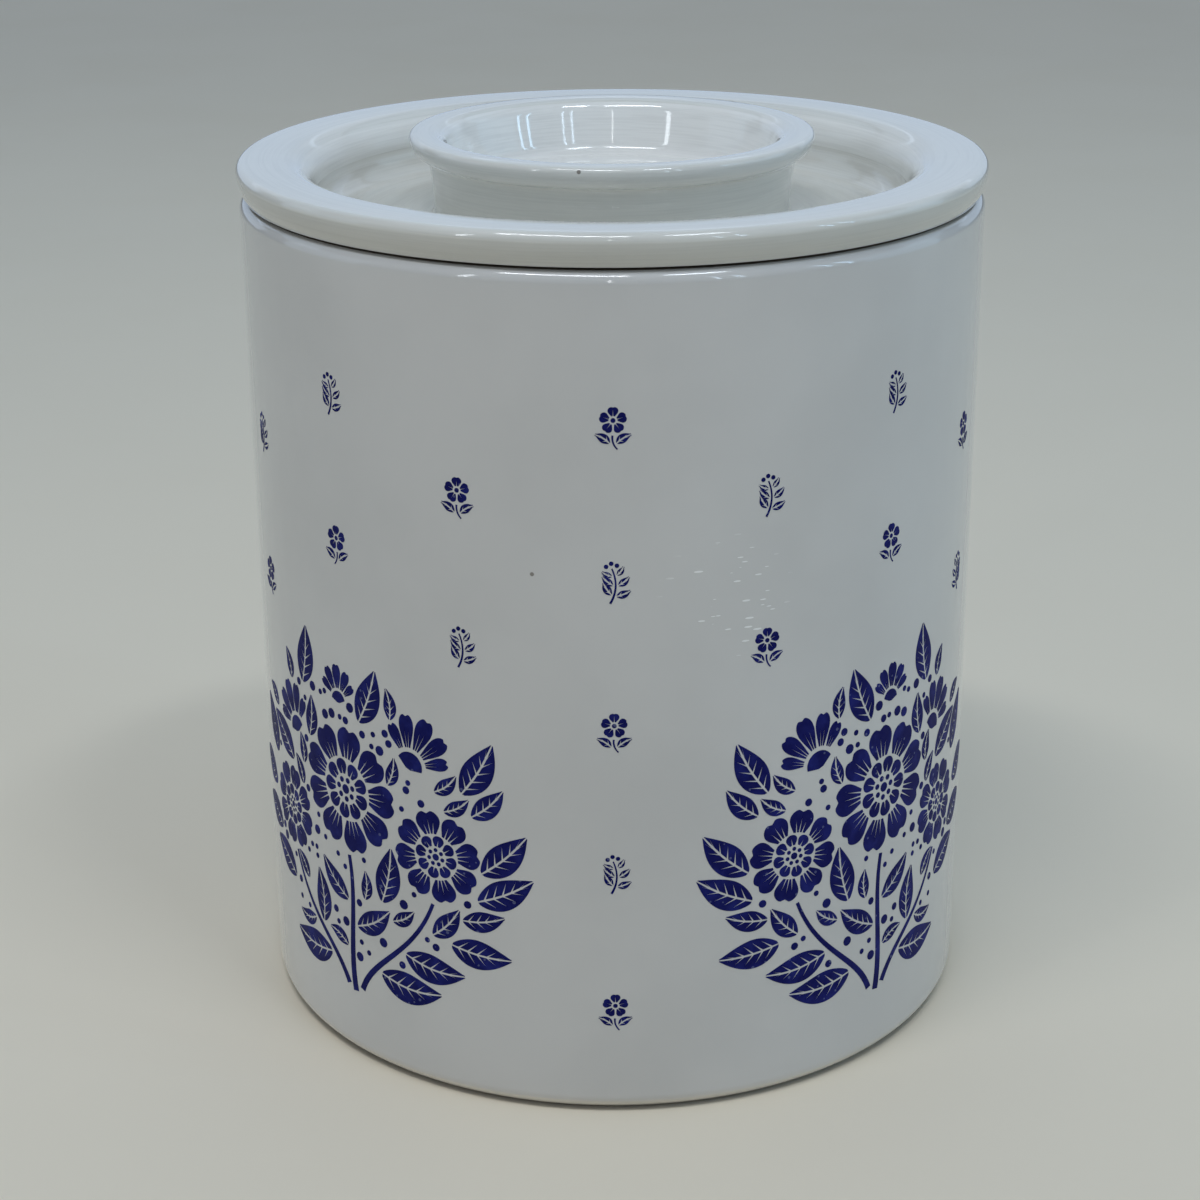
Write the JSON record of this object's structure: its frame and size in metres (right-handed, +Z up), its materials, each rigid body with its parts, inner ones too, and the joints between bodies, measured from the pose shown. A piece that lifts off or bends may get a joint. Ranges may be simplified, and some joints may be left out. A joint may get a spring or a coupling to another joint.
{
  "type": "ceramic storage canister",
  "caption": "Straight-sided round glazed ceramic storage canister with a lift-off lid: flat rim, deep finger well and a hollow cup-shaped knob, sealed by a soft ring.",
  "frame": {"origin": "centre of the foot ring, on the surface that the canister stands on", "axes": "+Z up along the axis of the body; -Y is the side that faces the viewer; +X is to the viewer's right"},
  "size_m": [0.1366, 0.1366, 0.165],
  "materials": {
    "body_glaze": "glossy off-white glaze with a cobalt blue printed pattern; bare unglazed foot ring and rim land",
    "lid_glaze": "glossy off-white glaze, slightly creamier in the well; bare unglazed seat",
    "seal": "soft translucent off-white moulded ring, satin"
  },
  "bodies": {
    "body": {"canister_body": "body_glaze"},
    "lid": {"lid": "lid_glaze", "seal_ring": "seal"}
  },
  "joints": [
    {"name": "lid_lift", "type": "slide", "parent": "body", "child": "lid", "axis": [0, 0, 1], "range_m": [0, 0.06]}
  ]
}
